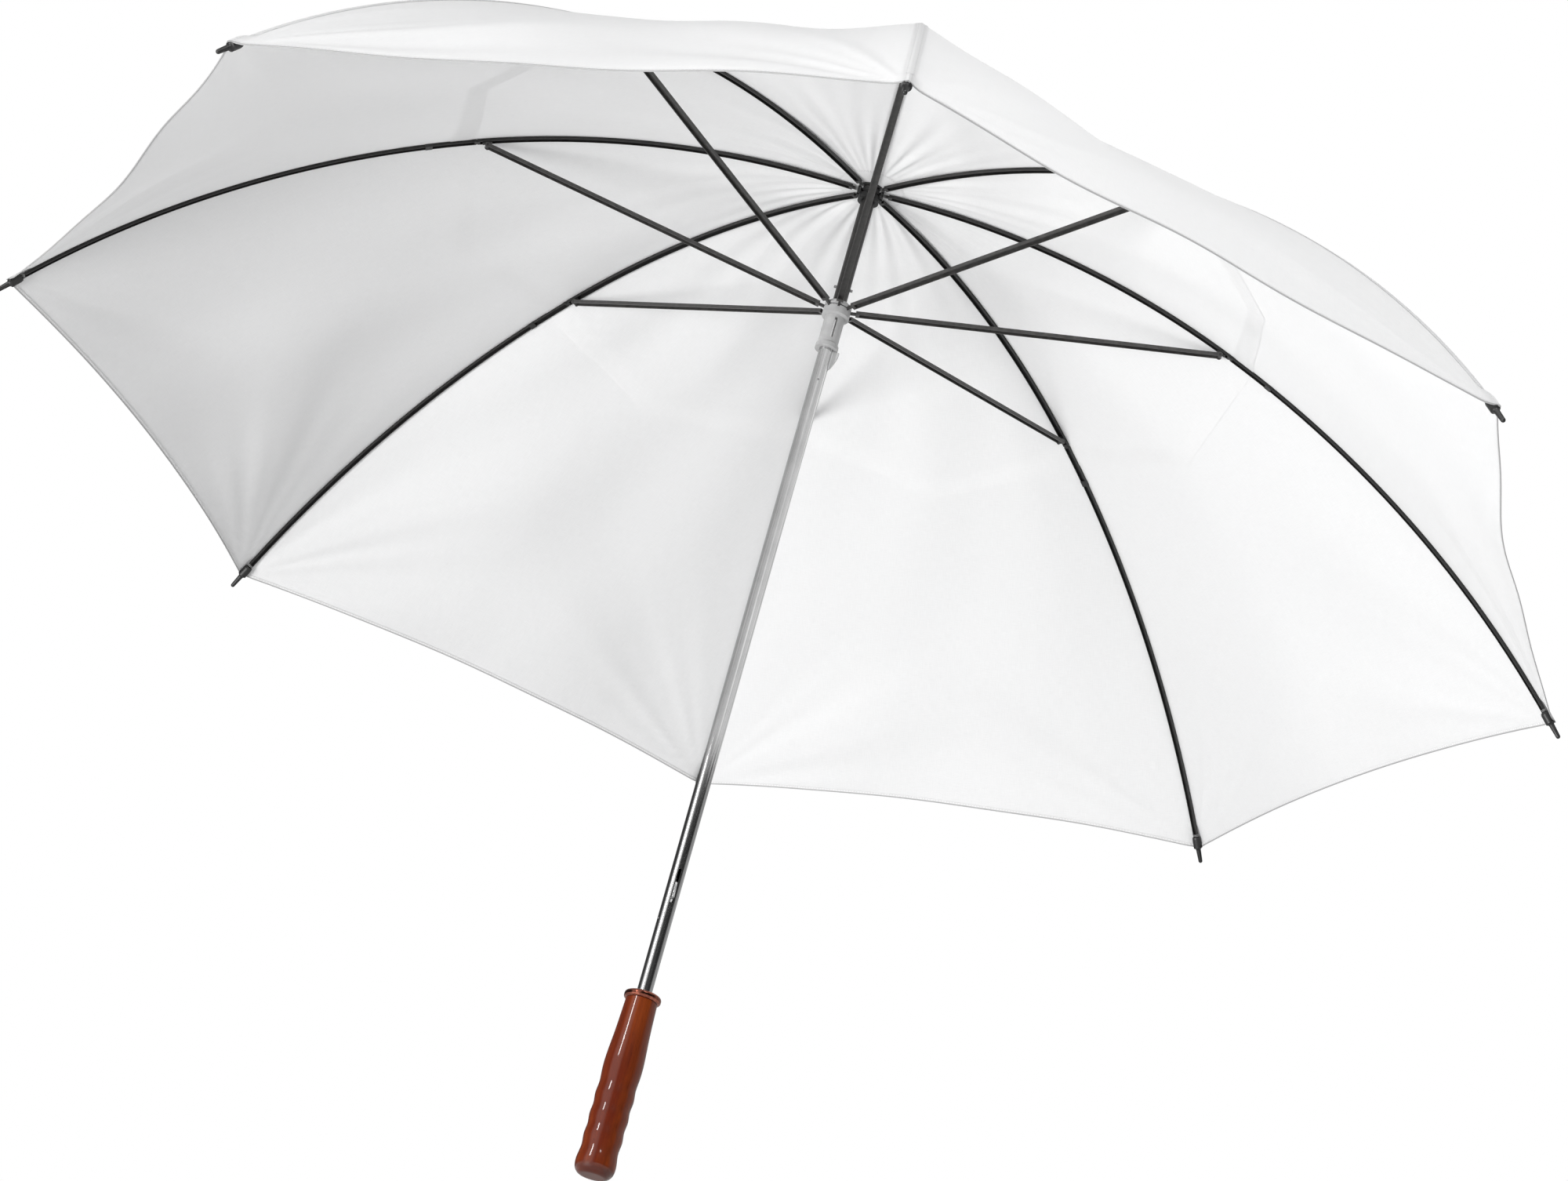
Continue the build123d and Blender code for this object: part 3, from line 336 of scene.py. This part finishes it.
def fabric_material():
    """White plain-weave polyester that lets some light through, doubled at seams and hem, with
    painted shade on the doubled cloth and a dark painted line at the hem's edge.
    """
    g = Graph("white_polyester")
    weave = g.add("SeparateXYZ", {0: g.add("UVMap", {}, uv_map="weave")}).node
    across, along = weave.outputs[0], weave.outputs[1]
    gaps = g.add("SeparateXYZ", {0: g.add("UVMap", {}, uv_map="gaps")}).node
    seam, hem = gaps.outputs[0], gaps.outputs[1]
    warp = g.math("SINE", g.math("MULTIPLY", across, 2 * pi / THREAD_PITCH))
    weft = g.math("SINE", g.math("MULTIPLY", along, 2 * pi / THREAD_PITCH))
    cloth = g.math("MULTIPLY", warp, weft)
    flat = g.add("CombineXYZ", {0: across, 1: along})
    slubs = g.noise(g.stretch(flat, (1500, 90, 1)), 1.0, 2.0)
    threads = g.noise(g.stretch(flat, (110, 1700, 1)), 1.0, 2.0)
    creases = g.noise(g.stretch(flat, (34, 11, 1)), 1.0, 4.0, 0.5)
    folded = g.math("MAXIMUM", g.span(seam, 0.0032, 0.0026), g.span(hem, 0.0028, 0.0022))
    seam_stitch = stitch_line(g, seam, 0.0023, along)
    hem_stitch = stitch_line(g, hem, 0.0018, across)
    stitch = g.math("MAXIMUM", seam_stitch, hem_stitch)
    height = g.math("MULTIPLY_ADD", cloth, 0.000035, g.math("MULTIPLY", slubs, 0.00009))
    height = g.math("MULTIPLY_ADD", threads, 0.00009, height)
    height = g.math("MULTIPLY_ADD", creases, 0.0008, height)
    height = g.math("MULTIPLY_ADD", folded, 0.00025, height)
    height = g.math("MULTIPLY_ADD", stitch, -0.0002, height)
    normal = g.bump(height, 1.0, 0.8)
    tone = g.math("ADD", g.math("MULTIPLY", slubs, 0.5), g.math("MULTIPLY", threads, 0.5))
    colour = g.mix(g.span(tone, 0.3, 0.7), grey(0.80), grey(0.88))
    # Painted shade: the doubled cloth of seams and hem is painted darker, standing for the light it
    # lets through less.
    colour = g.mix(g.math("MULTIPLY", folded, 0.25), colour, grey(0.66))
    colour = g.mix(g.math("MULTIPLY", stitch, 0.5), colour, grey(0.52))
    # Painted shade: a dark line painted along the hem's edge, standing for the shade of the rolled
    # hem.
    rim = g.span(hem, 0.0013, 0.0005)
    colour = g.mix(g.math("MULTIPLY", rim, 0.8), colour, grey(0.26))
    cloth_shader = g.add(
        "BsdfPrincipled",
        {
            "Base Color": colour,
            "Roughness": g.span(slubs, 0.3, 0.7, 0.46, 0.62),
            "Specular IOR Level": 0.35,
            "Sheen Weight": 0.25,
            "Sheen Roughness": 0.4,
            "Normal": normal,
        },
    )
    through = g.add("BsdfTranslucent", {"Color": grey(0.86), "Normal": normal})
    share = g.math("MULTIPLY_ADD", folded, -0.12, 0.30)
    return g.finish(g.add("MixShader", {0: share, 1: cloth_shader, 2: through}))


def enamel_material(name, tone, bare_radius=0.0):
    """Satin black enamel on bent sheet steel, rubbed bare within a radius of the shaft."""
    g = Graph(name)
    at = g.place()
    cloud = g.noise(at, 220.0, 4.0)
    fine = g.noise(at, 2600.0, 2.0)
    colour = g.mix(g.span(cloud, 0.35, 0.7), grey(tone * 0.8, 0.03), grey(tone * 1.35, 0.04))
    worn = g.math("MULTIPLY", g.span(g.noise(at, 900.0, 3.0), 0.66, 0.72), 0.5)
    colour = g.mix(worn, colour, grey(0.07))
    metallic = 0.25
    if bare_radius:
        parts = g.add("SeparateXYZ", {0: at}).node
        across = g.math("POWER", parts.outputs[0], 2.0)
        across = g.math("ADD", across, g.math("POWER", parts.outputs[1], 2.0))
        radius = g.math("SQRT", across)
        edge = g.math("MULTIPLY_ADD", cloud, 0.006, radius)
        bare = g.span(edge, bare_radius + 0.004, bare_radius)
        colour = g.mix(bare, colour, grey(0.42))
        metallic = g.math("MULTIPLY_ADD", bare, 0.7, metallic)
    return g.finish(
        g.add(
            "BsdfPrincipled",
            {
                "Base Color": colour,
                "Metallic": metallic,
                "Roughness": g.span(cloud, 0.3, 0.7, 0.30, 0.44),
                "Specular IOR Level": 0.5,
                "Coat Weight": 0.25,
                "Coat Roughness": 0.25,
                "Normal": g.bump(fine, 0.00002),
            },
        )
    )


DARK_TUBE_Z = 0.7862  # the tube looks dark from here up to the crown


def steel_material(name, tone, rough, dark_above=None):
    """Plated or drawn steel, with fine lines along its length, painted shade towards its edges,
    painted highlight streaks along it, and dark above a height.
    """
    g = Graph(name)
    at = g.place()
    lines = g.noise(g.stretch(at, (1400, 1400, 14)), 1.0, 3.0)
    marks = g.noise(at, 46.0, 4.0, 0.6)
    colour = g.mix(g.span(marks, 0.4, 0.75), grey(tone), grey(tone * 0.86))
    # Painted shade: the colour darkens towards the edges as the surface turns from view, standing
    # for dark reflections on the tube's sides.
    rim = g.add("LayerWeight", {"Blend": 0.35}, output=1)
    colour = g.mix(g.math("MULTIPLY", rim, 0.75), colour, grey(tone * 0.42))
    # Painted highlight: lighter streaks along the length of the steel stand for white reflections.
    painted_highlight_streaks = g.noise(g.stretch(at, (520, 520, 2.5)), 1.0, 2.0)
    colour = g.mix(g.span(painted_highlight_streaks, 0.54, 0.66), colour, grey(min(1, tone * 1.5)))
    roughness = g.span(lines, 0.3, 0.7, rough * 0.7, rough * 1.4)
    if dark_above is not None:
        height = g.add("SeparateXYZ", {0: at}, output=2)
        dark = g.span(height, dark_above - 0.0002, dark_above + 0.0002)
        colour = g.mix(dark, colour, grey(0.062, 0.02))
        roughness = g.math("MULTIPLY_ADD", dark, 0.26, roughness)
    return g.finish(
        g.add(
            "BsdfPrincipled",
            {
                "Base Color": colour,
                "Metallic": 1.0,
                "Roughness": roughness,
                "Normal": g.bump(lines, 0.00001),
            },
        )
    )


def plastic_material(name, colour, rough, glow=0.0):
    """Moulded plastic with a faint spark-eroded skin and uneven gloss."""
    g = Graph(name)
    at = g.place()
    skin = g.noise(at, 1500.0, 3.0)
    cloud = g.noise(at, 120.0, 3.0)
    darker = tuple(value * 0.86 for value in colour[:3]) + (1,)
    return g.finish(
        g.add(
            "BsdfPrincipled",
            {
                "Base Color": g.mix(g.span(cloud, 0.35, 0.7), colour, darker),
                "Roughness": g.span(cloud, 0.3, 0.7, rough * 0.85, rough * 1.2),
                "Specular IOR Level": 0.45,
                "Subsurface Weight": glow,
                "Subsurface Radius": (1, 1, 1),
                "Subsurface Scale": 0.003,
                "Normal": g.bump(skin, 0.00002),
            },
        )
    )


KNOT_PLACE = (0.0141, -0.0068, 0.0247)  # on the side of the grip that the camera sees


def wood_material():
    """Red-brown stained hardwood under thick gloss lacquer, with long grain and one tiny knot."""
    g = Graph("lacquered_wood")
    at = g.place()
    wobble = g.math("MULTIPLY", g.noise(g.stretch(at, (60, 60, 12)), 1.0, 3.0), 0.006)
    warped = g.add("VectorMath", {0: at, 1: g.add("CombineXYZ", {0: wobble})})
    grain = g.noise(g.stretch(warped, (420, 420, 9)), 1.0, 5.0, 0.6)
    bands = g.noise(g.stretch(warped, (85, 85, 5)), 1.0, 2.0)
    pores = g.noise(g.stretch(at, (2600, 2600, 90)), 1.0, 2.0)
    streak = g.math("MULTIPLY", g.span(grain, 0.45, 0.75), 0.55)
    pore = g.math("MULTIPLY", g.span(pores, 0.62, 0.7), 0.5)
    height = g.add("SeparateXYZ", {0: at}, output=2)
    end = g.math("MULTIPLY", g.span(height, 0.0085, 0.004), 0.8)
    away = g.add("VectorMath", {0: at, 1: KNOT_PLACE}, output="Value", operation="DISTANCE")
    colour = g.mix(g.span(bands, 0.3, 0.7), (0.215, 0.040, 0.005, 1), (0.095, 0.012, 0.003, 1))
    colour = g.mix(streak, colour, (0.065, 0.009, 0.002, 1))
    colour = g.mix(pore, colour, (0.03, 0.006, 0.002, 1))
    colour = g.mix(end, colour, (0.045, 0.007, 0.003, 1))
    colour = g.mix(g.span(away, 0.0013, 0.0006), colour, (0.02, 0.003, 0.001, 1))
    return g.finish(
        g.add(
            "BsdfPrincipled",
            {
                "Base Color": colour,
                "Roughness": 0.45,
                "Specular IOR Level": 0.08,
                "Coat Weight": 0.8,
                "Coat Roughness": 0.06,
                "Coat Tint": (1.0, 0.93, 0.86, 1),
                "Normal": g.bump(grain, 0.00004),
            },
        )
    )


def collar_material():
    """Polished reddish-brown metal with turned lines and darker patches of patina."""
    g = Graph("collar_metal")
    at = g.place()
    patina = g.noise(at, 240.0, 4.0, 0.6)
    lathe_lines = g.noise(g.stretch(at, (30, 30, 5200)), 1.0, 2.0)
    colour = g.mix(g.span(patina, 0.35, 0.7), (0.34, 0.12, 0.08, 1), (0.15, 0.045, 0.03, 1))
    return g.finish(
        g.add(
            "BsdfPrincipled",
            {
                "Base Color": colour,
                "Metallic": 1.0,
                "Roughness": g.span(lathe_lines, 0.3, 0.7, 0.10, 0.22),
                "Normal": g.bump(lathe_lines, 0.00001),
            },
        )
    )


FABRIC = fabric_material()
RIB_ENAMEL = enamel_material("rib_enamel", 0.011, bare_radius=0.013)
STRETCHER_ENAMEL = enamel_material("stretcher_enamel", 0.036)
CHROME = steel_material("chrome_tube", 0.58, 0.11, dark_above=DARK_TUBE_Z)
FERRULE_STEEL = steel_material("plated_ferrule", 0.80, 0.14)
WIRE = steel_material("drawn_wire", 0.62, 0.28)
SPRING_STEEL = steel_material("spring_steel", 0.55, 0.34)
PIN_STEEL = steel_material("pin_steel", 0.30, 0.35)
BLACK_PLASTIC = plastic_material("black_plastic", grey(0.009), 0.42)
TIP_PLASTIC = plastic_material("tip_plastic", grey(0.009), 0.42)
RUNNER_PLASTIC = plastic_material("milky_plastic", grey(0.36), 0.38, glow=0.25)
THREAD = plastic_material("light_thread", grey(0.30), 0.7)
WOOD = wood_material()
COLLAR = collar_material()

# ---- Finishes of the CAD nodes ------------------------------------------------------------
FINISHES = {
    "shaft_tube": (CHROME, "chrome"),
    "ferrule": (FERRULE_STEEL, "chrome"),
    "crown_cap": (BLACK_PLASTIC, "black_plastic"),
    "crown_notch": (BLACK_PLASTIC, "black_plastic"),
    "crown_wire": (WIRE, "steel_wire"),
    "runner_wire": (WIRE, "steel_wire"),
    "stop_pin": (PIN_STEEL, "steel_wire"),
    "spring_pins": (PIN_STEEL, "steel_wire"),
    "top_spring": (SPRING_STEEL, "spring_steel"),
    "bottom_spring": (SPRING_STEEL, "spring_steel"),
    "runner": (RUNNER_PLASTIC, "runner_plastic"),
    "handle_grip": (WOOD, "lacquered_wood"),
    "handle_collar": (COLLAR, "collar_metal"),
}
for number in range(1, RIBS + 1):
    for part in ("inner", "outer", "bracket"):
        FINISHES[f"rib_{number}_{part}"] = (RIB_ENAMEL, "black_steel")
    FINISHES[f"rib_{number}_tip"] = (TIP_PLASTIC, "tip_plastic")
    FINISHES[f"stretcher_{number}"] = (STRETCHER_ENAMEL, "black_steel")
for name, (material, slot_name) in FINISHES.items():
    nodes[name].data.materials.clear()
    nodes[name].data.materials.append(material)


# ---- Mesh pieces --------------------------------------------------------------------------
def grid_object(name, blocks, material):
    """A smooth mesh of grid blocks, each of (points, normals, {uv layer: (u, v)})."""
    points, normals, faces, layers = [], [], [], {}
    base = 0
    for block_points, block_normals, block_layers in blocks:
        rows, columns = block_points.shape[:2]
        index = base + np.arange(rows * columns).reshape(rows, columns)
        quads = np.stack([index[:-1, :-1], index[1:, :-1], index[1:, 1:], index[:-1, 1:]], -1)
        faces.append(quads.reshape(-1, 4))
        points.append(block_points.reshape(-1, 3))
        normals.append(block_normals.reshape(-1, 3))
        for layer, (u, v) in block_layers.items():
            layers.setdefault(layer, []).append(np.stack([u.ravel(), v.ravel()], -1))
        base += rows * columns
    faces = np.concatenate(faces)
    mesh = bpy.data.meshes.new(name)
    mesh.from_pydata(np.concatenate(points).tolist(), [], faces.tolist())
    for layer, values in layers.items():
        uv = mesh.uv_layers.new(name=layer)
        uv.data.foreach_set("uv", np.concatenate(values)[faces.ravel()].astype(np.float32).ravel())
    mesh.shade_smooth()
    mesh.normals_split_custom_set_from_vertices(np.concatenate(normals).tolist())
    mesh.materials.append(material)
    obj = bpy.data.objects.new(name, mesh)
    bpy.context.scene.collection.objects.link(obj)
    return obj


TUCK_ROWS = 4  # inner fabric that slips under the outer, so that the closed bend has no slit
TUCK_GAP = 0.0004


def sheet_block(gore, columns, first, last, tucked=0):
    """Rows first to last of half a gore, and some more that slip under the next piece."""
    points, normals = GORES[gore]
    part = (slice(first, last + 1 + tucked), columns)
    under = (np.arange(last + 1 + tucked - first) > last - first)[:, None, None]
    layers = {"weave": (WEAVE_U[part], WEAVE_V[part]), "gaps": (SEAM_U[part], SEAM_V[part])}
    return points[part] - TUCK_GAP * under * normals[part], normals[part], layers


# The half gores before and after a rib, as columns of the gores on either side of it.
BEFORE, AFTER = slice(COLUMNS, 2 * COLUMNS + 1), slice(0, COLUMNS + 1)
# Each ring's name, its first and last mark, and the share of its width that it keeps when closed.
RINGS = (("crown", 0, 1, 0.60), ("upper", 1, 2, 0.38), ("middle", 2, 3, 0.25))
LAST_ROW = len(GORES[0][0]) - 1


for number in range(1, RIBS + 1):
    azimuth = (number - 1) * STEP
    after, before = number - 1, (number - 2) % RIBS
    for ring, first, last, keep in RINGS:
        rows = (MARKS[first], MARKS[last], TUCK_ROWS if ring == "middle" else 0)
        blocks = [sheet_block(before, BEFORE, *rows), sheet_block(after, AFTER, *rows)]
        piece = grid_object(f"canopy_{ring}_{number}", blocks, FABRIC)
        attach(piece, f"rib_{number}_inner")
        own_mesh(piece)
        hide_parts("canopy")
    for label, gore, columns, side in (("a", before, BEFORE, -1), ("b", after, AFTER, 1)):
        block = sheet_block(gore, columns, MARKS[3], LAST_ROW)
        piece = grid_object(f"canopy_outer_{number}{label}", [block], FABRIC)
        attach(piece, f"rib_{number}_outer")
        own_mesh(piece)
        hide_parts("canopy")

# ---- Seams: the felled edge of the gores, a flat band on the outside along every rib ------
SEAM_HALF_WIDTH = 0.0046
SEAM_THICKNESS = 0.0003
SEAM_START, SEAM_END = 0.055, RIB_LENGTH - BELL_START
SEAM_LAP = 0.0015  # each of a rib's two bands passes its bend by this much
SEAM_COLUMNS = 11
INNER_SEAM_ROWS, OUTER_SEAM_ROWS = 60, 80


def seam_band(name, number, start, end, rows):
    """The seam over one rib from start to end along it, on the sheet's outer face."""
    edge = SEAM_HALF_WIDTH
    offsets = np.concatenate([[-edge], np.linspace(-edge, edge, SEAM_COLUMNS), [edge]])
    raised = np.ones_like(offsets)
    raised[[0, -1]] = 0
    s = np.repeat(np.linspace(start, end, rows)[:, None], len(offsets), 1)
    across = np.abs(offsets) / (rib_curve(s, 0)[0] * sin(STEP))
    left = sheet_points((number - 2) % RIBS, s, 1 - across)
    right = sheet_points(number - 1, s, across)
    points = np.where((offsets < 0)[None, :, None], left, right)
    normals = grid_normals(points[:, 1:-1])
    normals = np.concatenate([normals[:, :1], normals, normals[:, -1:]], 1)
    points = points + normals * (raised * SEAM_THICKNESS)[None, :, None]
    flat = 0 * s
    layers = {"weave": (flat + offsets, s), "gaps": (flat + np.abs(offsets), RIB_LENGTH - s)}
    return grid_object(name, [(points, normals, layers)], FABRIC)


for number in range(1, RIBS + 1):
    for part, start, end, rows in (
        ("inner", SEAM_START, SPLIT + SEAM_LAP, INNER_SEAM_ROWS),
        ("outer", SPLIT - SEAM_LAP, SEAM_END, OUTER_SEAM_ROWS),
    ):
        seam = seam_band(f"seam_{part}_{number}", number, start, end, rows)
        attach(seam, f"rib_{number}_{part}")

# ---- Rosette: a pinked disc of the same cloth round the shaft, under the canopy -----------
low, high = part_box("inner_rosette")
ROSETTE_RADIUS, ROSETTE_Z = high.x, (low.z + high.z) / 2
PINKS_PER_RIB = 10
PINK_DEPTH = 0.0022
ROSETTE_WAVE = 0.00028
for number in range(1, RIBS + 1):
    azimuth = (number - 1) * STEP
    angles = azimuth + np.linspace(-HALF, HALF, 2 * PINKS_PER_RIB + 1)
    tooth = np.abs(((np.arange(len(angles)) / 2) % 1) - 0.5) * 2
    rim = ROSETTE_RADIUS - PINK_DEPTH * tooth
    outward = np.linspace(0, 1, 8)[:, None]
    radius = SHEET_INNER_RADIUS + (rim - SHEET_INNER_RADIUS) * outward
    wave = ROSETTE_WAVE * np.sin(5 * angles + 1.1) * outward**2
    points = round_shaft(radius, angles, ROSETTE_Z + wave)
    layers = {
        "weave": (radius * np.sin(angles - azimuth), radius * np.cos(angles - azimuth)),
        "gaps": (np.full_like(radius, 0.01), rim - radius + 0.0012),
    }
    disc = grid_object(f"rosette_{number}", [(points, grid_normals(points), layers)], FABRIC)
    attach(disc, f"rib_{number}_inner")
    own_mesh(disc)
    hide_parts("inner_rosette")


# ---- Sewing thread wound round each rib where the fabric corner is tied to the tip --------
THREAD_TURNS, STEPS_PER_TURN = 2, 28
THREAD_RADIUS = 0.00024
THREAD_START = RIB_LENGTH - 0.0114  # along the rib, hard against the tip's bell
THREAD_RUN = 0.0021
THREAD_LIFT, THREAD_ASIDE = 0.00205, 0.00295  # half axes of a turn, round the rib's section


def wound_thread(name, number):
    """Turns of thread round the rib, from the tip's bell towards the shaft."""
    count = STEPS_PER_TURN * THREAD_TURNS + 1
    wind = np.linspace(0, 2 * pi * THREAD_TURNS, count)
    radius, height, slope = rib_curve(THREAD_START - THREAD_RUN * np.linspace(0, 1, count), 0)
    lift = THREAD_LIFT * np.sin(wind)
    aside = THREAD_ASIDE * np.cos(wind)
    x, z = radius + lift * np.sin(slope), height + lift * np.cos(slope)
    spine = turned(x, aside, z, (number - 1) * STEP)
    ahead = np.gradient(spine, axis=0)
    ahead /= np.linalg.norm(ahead, axis=1, keepdims=True)
    side = np.cross(ahead, (0, 0, 1))
    side /= np.linalg.norm(side, axis=1, keepdims=True)
    up = np.cross(side, ahead)
    ring = np.linspace(0, 2 * pi, 9)
    out = side[:, None] * np.cos(ring)[None, :, None] + up[:, None] * np.sin(ring)[None, :, None]
    points = spine[:, None] + THREAD_RADIUS * out
    return grid_object(name, [(points, out, {})], THREAD)


for number in range(1, RIBS + 1):
    thread = wound_thread(f"tip_thread_{number}", number)
    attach(thread, f"rib_{number}_outer")

# ---- Stage: floor, light, world and camera ------------------------------------------------
scene = bpy.context.scene
scene.view_settings.view_transform = "Standard"
FLOOR_Z = -0.0004  # just under the grip's end
FLOOR_GLOW = 0.40  # stands for light on the floor from lamps outside the set
AMBIENT = 0.23
REFLECTIONS = (  # brightness round the horizon as gloss sees it, from -X by -Y, +X and +Y
    (0.0, 0.35),
    (0.05, 0.10),
    (0.27, 0.06),
    (0.31, 1.0),
    (0.42, 1.0),
    (0.46, 0.05),
    (0.68, 0.04),
    (0.75, 0.5),
    (1.0, 0.35),
)


def floor():
    """A pale, faintly glowing floor under the grip, clear from below and without a shadow."""
    g = Graph("pale_floor")
    at = g.place()
    cloud = g.noise(at, 1.6, 3.0)
    speck = g.noise(at, 90.0, 2.0)
    pale = g.add(
        "BsdfPrincipled",
        {
            "Base Color": g.mix(g.span(cloud, 0.3, 0.7), grey(0.62), grey(0.59)),
            "Roughness": 0.6,
            "Normal": g.bump(speck, 0.00005),
        },
    )
    glow = g.add("Emission", {"Color": grey(1.0), "Strength": FLOOR_GLOW})
    pale = g.add("AddShader", {0: pale, 1: glow})
    clear = g.add("BsdfTransparent", {})
    behind = g.add("NewGeometry", {}, output="Backfacing")
    shadow = g.add("LightPath", {}, output="Is Shadow Ray")
    hidden = g.math("MAXIMUM", behind, shadow)
    material = g.finish(g.add("MixShader", {0: hidden, 1: pale, 2: clear}))
    ring = np.linspace(0, 2 * pi, 97)
    radius = np.array([0, 1, 3, 8, 20])[:, None]
    points = round_shaft(radius, ring, FLOOR_Z)
    up = np.zeros_like(points)
    up[..., 2] = 1
    return grid_object("floor", [(points, up, {})], material)


def area_light(name, place, target, size, power, height=None):
    """A round softbox, or an upright one of the given height that only gloss can see."""
    data = bpy.data.lights.new(name, "AREA")
    data.shape, data.size, data.energy = "DISK", size, power
    if height:
        data.shape, data.size_y = "RECTANGLE", height
    lamp = bpy.data.objects.new(name, data)
    scene.collection.objects.link(lamp)
    lamp.location = place
    lamp.rotation_mode = "QUATERNION"
    lamp.rotation_quaternion = (Vector(target) - Vector(place)).to_track_quat("-Z", "Y")
    lamp.visible_camera = lamp.visible_diffuse = lamp.visible_transmission = height is None
    return lamp


def studio_world():
    """White to the camera, soft white as light, and a softbox beside a dark room in reflections."""
    world = bpy.data.worlds.new("studio")
    scene.world = world
    world.use_nodes = True
    tree = world.node_tree
    tree.nodes.clear()
    new, link = tree.nodes.new, tree.links.new
    coord = new("ShaderNodeTexCoord")
    parts = new("ShaderNodeSeparateXYZ")
    link(coord.outputs["Generated"], parts.inputs[0])
    angle = new("ShaderNodeMath")
    angle.operation = "ARCTAN2"
    link(parts.outputs[1], angle.inputs[0])
    link(parts.outputs[0], angle.inputs[1])
    spread = new("ShaderNodeMapRange")
    spread.inputs[1].default_value, spread.inputs[2].default_value = -pi, pi
    link(angle.outputs[0], spread.inputs[0])
    ramp = new("ShaderNodeValToRGB")
    elements = ramp.color_ramp.elements
    while len(elements) < len(REFLECTIONS):
        elements.new(0.5)
    for element, (place, value) in zip(elements, REFLECTIONS):
        element.position, element.color = place, grey(value)
    link(spread.outputs[0], ramp.inputs[0])
    path = new("ShaderNodeLightPath")
    light, seen, mirror = (new("ShaderNodeBackground") for _ in range(3))
    light.inputs[0].default_value, light.inputs[1].default_value = (0.97, 0.98, 1.0, 1), AMBIENT
    seen.inputs[0].default_value, seen.inputs[1].default_value = grey(1), 1.0
    link(ramp.outputs[0], mirror.inputs[0])
    by_gloss, by_camera = new("ShaderNodeMixShader"), new("ShaderNodeMixShader")
    link(path.outputs["Is Glossy Ray"], by_gloss.inputs[0])
    link(light.outputs[0], by_gloss.inputs[1])
    link(mirror.outputs[0], by_gloss.inputs[2])
    link(path.outputs["Is Camera Ray"], by_camera.inputs[0])
    link(by_gloss.outputs[0], by_camera.inputs[1])
    link(seen.outputs[0], by_camera.inputs[2])
    link(by_camera.outputs[0], new("ShaderNodeOutputWorld").inputs[0])


studio_world()
key = area_light("key", place=(1.8, -2.24, -1.1), target=(0, 0, 0.7), size=1.5, power=116)
fill = area_light("fill", place=(2.4, 0.3, 2.4), target=(0.2, 0, 0.8), size=1.4, power=64)
strip = area_light(
    "strip", place=(1.70, -1.85, 1.60), target=(0, 0, 0.1), size=0.26, power=24, height=1.1
)
floor()

# The camera stands below the canopy and looks up along the open side of rib 1.
CAMERA_DISTANCE = 3.20652
CAMERA_AZIMUTH, CAMERA_ELEVATION = radians(-0.32098), radians(-30.84239)
CAMERA_TARGET = Vector((-0.12602, 0.022173, 0.572702))
CAMERA_ROLL = 0.272685  # radians
camera_data = bpy.data.cameras.new("camera")
camera = bpy.data.objects.new("camera", camera_data)
scene.collection.objects.link(camera)
camera.location = Vector((0, 0, CROWN_Z)) + CAMERA_DISTANCE * Vector(
    (
        cos(CAMERA_ELEVATION) * cos(CAMERA_AZIMUTH),
        cos(CAMERA_ELEVATION) * sin(CAMERA_AZIMUTH),
        sin(CAMERA_ELEVATION),
    )
)
forward = (CAMERA_TARGET - camera.location).normalized()
right = forward.cross(Vector((0, 0, 1))).normalized()
upward = right.cross(forward)
right, upward = (
    right * cos(CAMERA_ROLL) + upward * sin(CAMERA_ROLL),
    upward * cos(CAMERA_ROLL) - right * sin(CAMERA_ROLL),
)
axes = Matrix((right, upward, -forward)).transposed().to_4x4()
camera.matrix_world = Matrix.Translation(camera.location) @ axes
camera_data.sensor_width = 36
camera_data.lens = 84.947
camera_data.clip_start, camera_data.clip_end = 0.01, 200
scene.camera = camera
